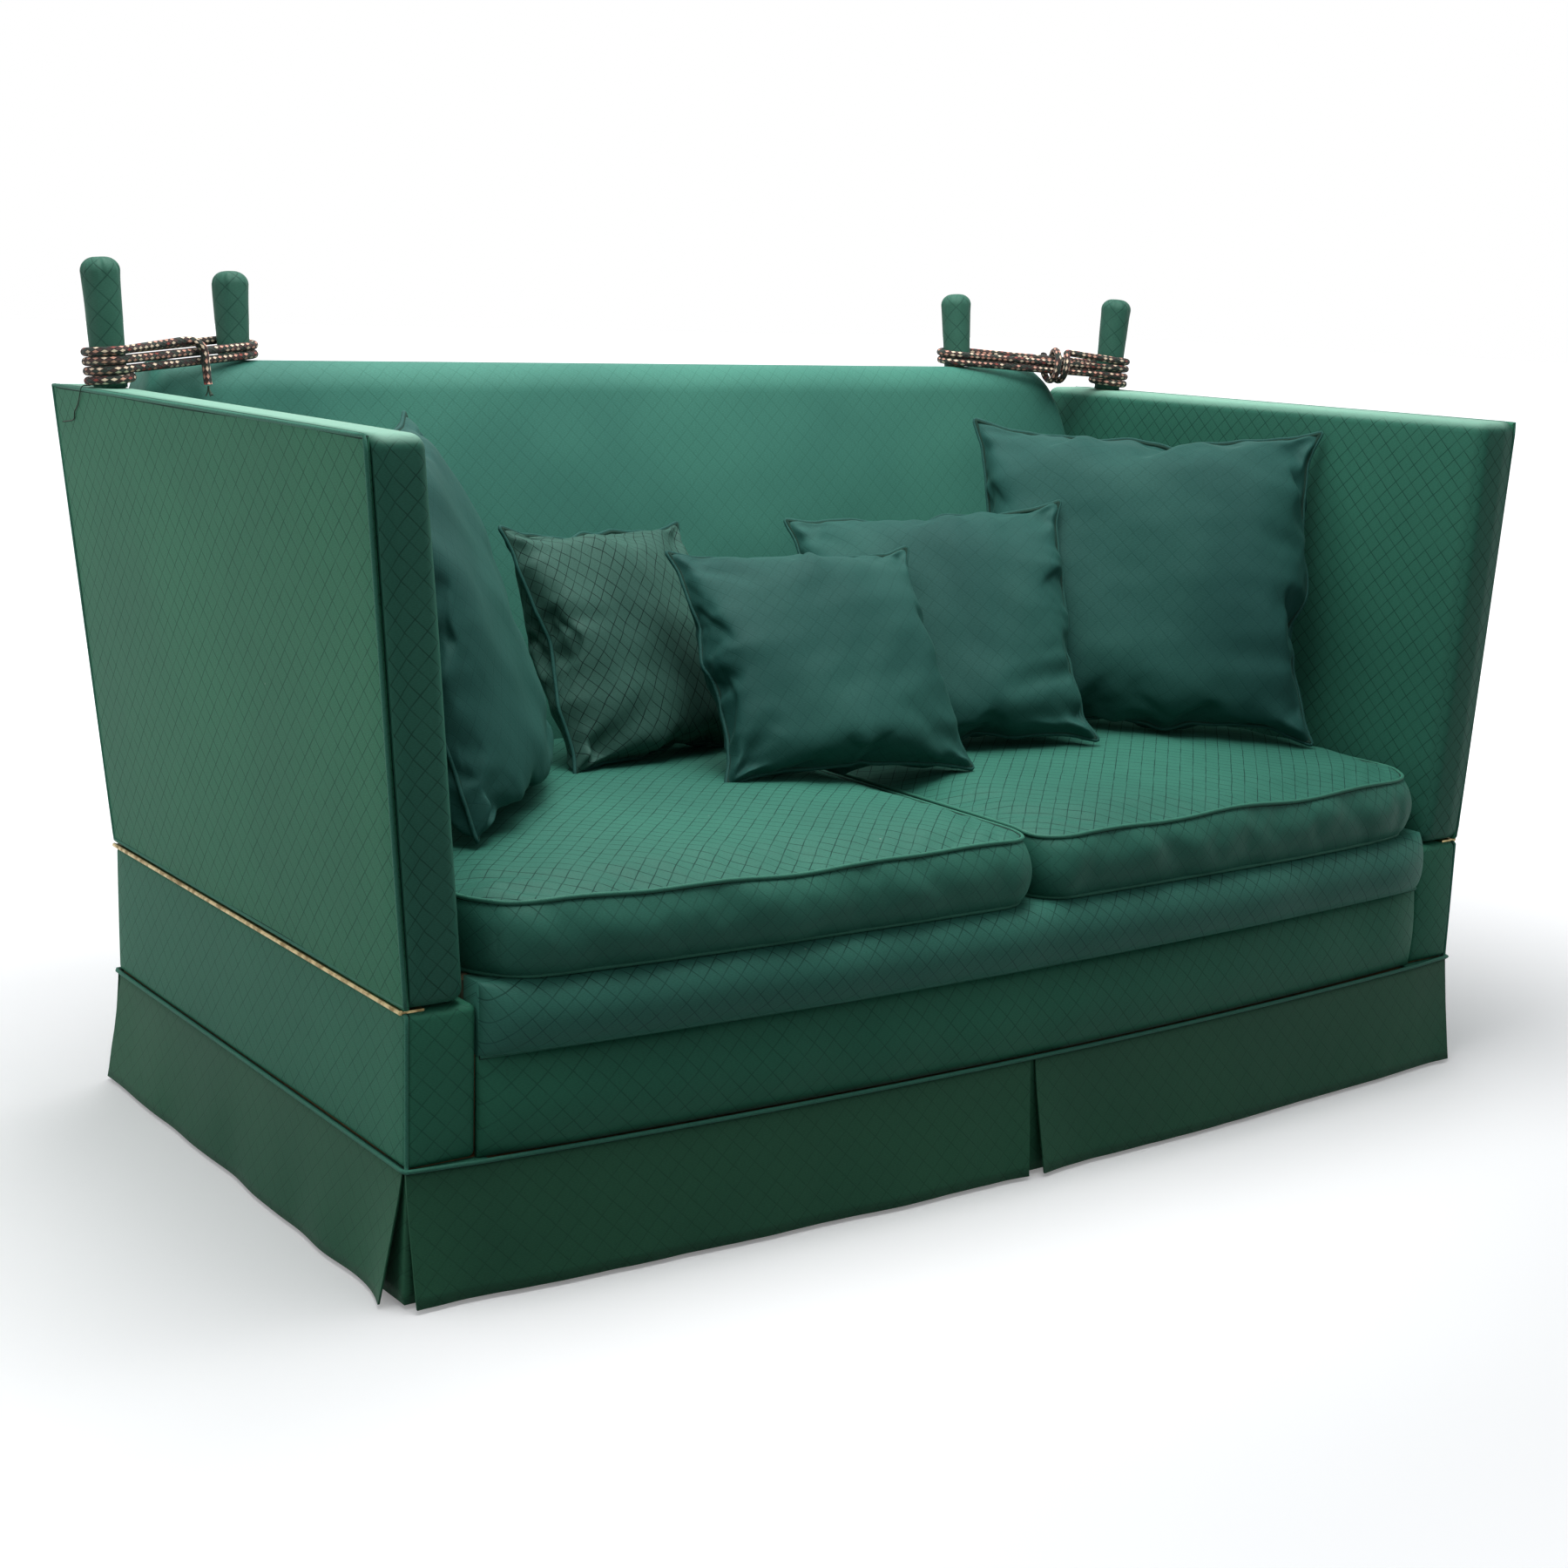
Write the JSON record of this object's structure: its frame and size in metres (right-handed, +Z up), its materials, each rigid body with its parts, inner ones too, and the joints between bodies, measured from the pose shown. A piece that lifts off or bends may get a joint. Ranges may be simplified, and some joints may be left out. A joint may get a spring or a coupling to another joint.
{
  "type": "knole sofa",
  "caption": "Knole sofa: deep seat and fixed back, tall side arms hinged to drop outwards, held by rope lashed between padded posts, with loose seat and scatter cushions.",
  "frame": {"origin": "on the floor under the middle of the sofa's width and depth", "axes": "+X to the right seen from the front, +Y towards the back, +Z up"},
  "size_m": [1.8964, 1.0626, 1.1675],
  "materials": {
    "green_damask": "satin woven damask with a fine dark diamond lattice",
    "cushion_damask": "satin woven damask over feather and foam",
    "frame_timber": "sawn beech, unfinished",
    "jute_hessian": "woven jute and hessian",
    "hinge_brass": "dulled brass",
    "braided_rope": "dark braid flecked with cream and red"
  },
  "bodies": {
    "base": {"front_seat_rail": "frame_timber", "back_seat_rail": "frame_timber", "centre_seat_rail": "frame_timber", "left_side_rail": "frame_timber", "right_side_rail": "frame_timber", "left_front_foot": "frame_timber", "left_rear_foot": "frame_timber", "right_front_foot": "frame_timber", "right_rear_foot": "frame_timber", "left_back_upright": "frame_timber", "right_back_upright": "frame_timber", "back_top_rail": "frame_timber", "seat_webbing": "jute_hessian", "sprung_seat_unit": "jute_hessian", "left_hinge_base_leaf": "hinge_brass", "left_hinge_pin": "hinge_brass", "right_hinge_base_leaf": "hinge_brass", "right_hinge_pin": "hinge_brass", "left_rope": "braided_rope", "right_rope": "braided_rope", "left_seat_cushion": "cushion_damask", "right_seat_cushion": "cushion_damask", "right_large_cushion": "cushion_damask", "left_large_cushion": "cushion_damask", "right_small_cushion": "cushion_damask", "left_small_cushion": "cushion_damask", "centre_small_cushion": "cushion_damask", "left_base_cover": "green_damask", "right_base_cover": "green_damask", "left_back_post_cover": "green_damask", "right_back_post_cover": "green_damask", "outside_back_panel": "green_damask", "inside_back_pad": "green_damask", "front_border": "green_damask", "front_edge_roll": "green_damask", "front_skirt_left": "green_damask", "left_skirt": "green_damask", "front_skirt_right": "green_damask", "right_skirt": "green_damask", "back_skirt": "green_damask", "front_centre_pleat": "green_damask", "left_corner_pleat": "green_damask", "right_corner_pleat": "green_damask"},
    "left_arm": {"left_hinge_arm_leaf": "hinge_brass", "left_arm_pad": "green_damask", "left_arm_outside_panel": "green_damask", "left_arm_top_rail": "frame_timber", "left_arm_bottom_rail": "frame_timber", "left_arm_front_stile": "frame_timber", "left_arm_rear_stile": "frame_timber", "left_arm_post_cover": "green_damask"},
    "right_arm": {"right_hinge_arm_leaf": "hinge_brass", "right_arm_pad": "green_damask", "right_arm_outside_panel": "green_damask", "right_arm_top_rail": "frame_timber", "right_arm_bottom_rail": "frame_timber", "right_arm_front_stile": "frame_timber", "right_arm_rear_stile": "frame_timber", "right_arm_post_cover": "green_damask"}
  },
  "joints": [
    {"name": "left_arm_drop", "type": "hinge", "parent": "base", "child": "left_arm", "pos_m": [-0.9033, -0.00333, 0.35265], "axis": [0, -1, 0], "range_deg": [0, 86], "deforming": ["left_rope"]},
    {"name": "right_arm_drop", "type": "hinge", "parent": "base", "child": "right_arm", "pos_m": [0.9033, -0.00333, 0.35265], "axis": [0, 1, 0], "range_deg": [0, 86], "deforming": ["right_rope"]}
  ]
}
